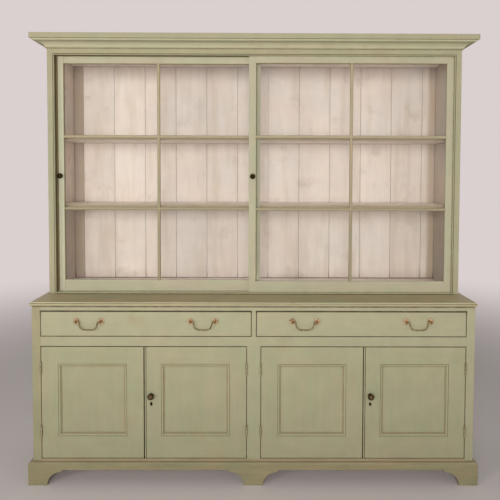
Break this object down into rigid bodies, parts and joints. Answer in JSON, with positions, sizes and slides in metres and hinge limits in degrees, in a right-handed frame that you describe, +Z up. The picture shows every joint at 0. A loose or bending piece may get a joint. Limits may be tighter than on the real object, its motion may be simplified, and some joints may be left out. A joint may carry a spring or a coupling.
{
  "type": "kitchen dresser",
  "caption": "Tall painted kitchen dresser: a glazed cupboard with sliding sashes above a base of drawers and panelled doors, on a plinth cut into bracket feet.",
  "frame": {"origin": "floor level, under the centre of the bounding box, which takes in the door knobs and the cornice", "axes": "+Z up, the front faces -Y, +X to the right of a person who faces the front"},
  "size_m": [2.276, 0.528, 2.254],
  "materials": {
    "green_paint": "worn sage green paint",
    "cream_paint": "cream paint",
    "bare_wood": "bare aged pine",
    "glass": "clear",
    "brass": "aged",
    "painted_iron": "painted over, worn",
    "iron": "dark"
  },
  "bodies": {
    "carcase": {"worktop": "green_paint", "base_face_frame": "green_paint", "base_side_left": "green_paint", "base_side_right": "green_paint", "base_partition": "bare_wood", "base_floor": "bare_wood", "base_shelves": "bare_wood", "shelf_battens": "bare_wood", "drawer_runners": "bare_wood", "base_back_boards": "bare_wood", "plinth_front": "green_paint", "plinth_returns": "green_paint", "foot_blocks": "bare_wood", "hinge_leaves_fixed": "painted_iron", "top_side_left": "green_paint", "top_side_right": "green_paint", "top_floor": "cream_paint", "top_ceiling": "cream_paint", "top_shelves": "cream_paint", "top_back_boards": "cream_paint", "top_face_frame": "green_paint", "cock_bead": "green_paint", "sash_tracks": "bare_wood", "cornice": "green_paint"},
    "rear_sash": {"rear_sash_frame": "green_paint", "rear_sash_panes": "glass", "rear_sash_knob": "brass"},
    "front_sash": {"front_sash_frame": "green_paint", "front_sash_panes": "glass", "front_sash_knob": "brass"},
    "drawer_left": {"drawer_left_front": "green_paint", "drawer_left_box": "bare_wood", "drawer_left_handle_posts": "brass"},
    "drawer_left_bail_left": {"drawer_left_bail_left": "brass"},
    "drawer_left_bail_right": {"drawer_left_bail_right": "brass"},
    "drawer_right": {"drawer_right_front": "green_paint", "drawer_right_box": "bare_wood", "drawer_right_handle_posts": "brass"},
    "drawer_right_bail_left": {"drawer_right_bail_left": "brass"},
    "drawer_right_bail_right": {"drawer_right_bail_right": "brass"},
    "door_1": {"door_1_frame": "green_paint", "door_1_panel": "green_paint", "door_1_hinges": "painted_iron"},
    "door_2": {"door_2_frame": "green_paint", "door_2_panel": "green_paint", "door_2_hinges": "painted_iron", "door_2_knob": "brass", "door_2_lock": "iron"},
    "door_2_bolt": {"door_2_lock_bolt": "iron"},
    "door_3": {"door_3_frame": "green_paint", "door_3_panel": "green_paint", "door_3_hinges": "painted_iron"},
    "door_4": {"door_4_frame": "green_paint", "door_4_panel": "green_paint", "door_4_hinges": "painted_iron", "door_4_knob": "brass", "door_4_lock": "iron"},
    "door_4_bolt": {"door_4_lock_bolt": "iron"}
  },
  "joints": [
    {"name": "rear_sash_slide", "type": "slide", "parent": "carcase", "child": "rear_sash", "axis": [1, 0, 0], "range_m": [0, 0.962]},
    {"name": "front_sash_slide", "type": "slide", "parent": "carcase", "child": "front_sash", "axis": [1, 0, 0], "range_m": [-0.962, 0]},
    {"name": "drawer_left_slide", "type": "slide", "parent": "carcase", "child": "drawer_left", "axis": [0, -1, 0], "range_m": [0, 0.34]},
    {"name": "drawer_left_bail_left_swing", "type": "hinge", "parent": "drawer_left", "child": "drawer_left_bail_left", "pos_m": [-0.8135, -0.25, 0.816], "axis": [-1, 0, 0], "range_deg": [-12, 85]},
    {"name": "drawer_left_bail_right_swing", "type": "hinge", "parent": "drawer_left", "child": "drawer_left_bail_right", "pos_m": [-0.2515, -0.25, 0.816], "axis": [-1, 0, 0], "range_deg": [-12, 85]},
    {"name": "drawer_right_slide", "type": "slide", "parent": "carcase", "child": "drawer_right", "axis": [0, -1, 0], "range_m": [0, 0.34]},
    {"name": "drawer_right_bail_left_swing", "type": "hinge", "parent": "drawer_right", "child": "drawer_right_bail_left", "pos_m": [0.2515, -0.25, 0.816], "axis": [-1, 0, 0], "range_deg": [-12, 85]},
    {"name": "drawer_right_bail_right_swing", "type": "hinge", "parent": "drawer_right", "child": "drawer_right_bail_right", "pos_m": [0.8135, -0.25, 0.816], "axis": [-1, 0, 0], "range_deg": [-12, 85]},
    {"name": "door_1_hinge", "type": "hinge", "parent": "carcase", "child": "door_1", "pos_m": [-1.05225, -0.2378, 0.4085], "axis": [0, 0, -1], "range_deg": [0, 110]},
    {"name": "door_2_hinge", "type": "hinge", "parent": "carcase", "child": "door_2", "pos_m": [-0.03525, -0.2378, 0.4085], "axis": [0, 0, 1], "range_deg": [0, 90]},
    {"name": "door_2_bolt_throw", "type": "slide", "parent": "door_2", "child": "door_2_bolt", "axis": [-1, 0, 0], "range_m": [0, 0.008]},
    {"name": "door_3_hinge", "type": "hinge", "parent": "carcase", "child": "door_3", "pos_m": [0.03525, -0.2378, 0.4085], "axis": [0, 0, -1], "range_deg": [0, 90]},
    {"name": "door_4_hinge", "type": "hinge", "parent": "carcase", "child": "door_4", "pos_m": [1.05225, -0.2378, 0.4085], "axis": [0, 0, 1], "range_deg": [0, 110]},
    {"name": "door_4_bolt_throw", "type": "slide", "parent": "door_4", "child": "door_4_bolt", "axis": [-1, 0, 0], "range_m": [0, 0.008]}
  ]
}
